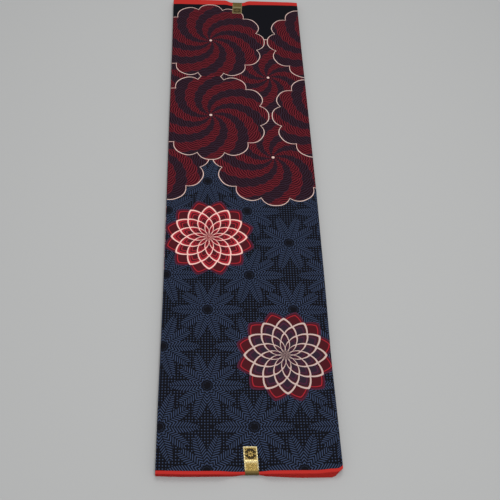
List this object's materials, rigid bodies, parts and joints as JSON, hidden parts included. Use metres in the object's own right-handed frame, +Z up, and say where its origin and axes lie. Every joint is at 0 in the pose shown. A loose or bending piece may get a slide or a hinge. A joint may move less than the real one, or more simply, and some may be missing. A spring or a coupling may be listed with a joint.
{
  "type": "folded ankara fabric",
  "caption": "Long flat pack of printed cotton cloth, folded back and forth in even panels, with a plain foil label bent round the middle of each end.",
  "frame": {"origin": "middle of the pack's underside", "axes": "+X across the pack, from the side with the two cut ends to the side that has folds alone; +Y along the pack, from the near label to the far one; +Z up, out of the top panel"},
  "size_m": [0.3064, 1.1696, 0.0134],
  "materials": {
    "printed_cotton": "matt printed plain weave, dark blue and maroon ground with red selvedges",
    "gold_foil": null
  },
  "bodies": {
    "root": {"cloth": "printed_cotton", "label_near": "gold_foil", "label_far": "gold_foil"}
  },
  "joints": []
}
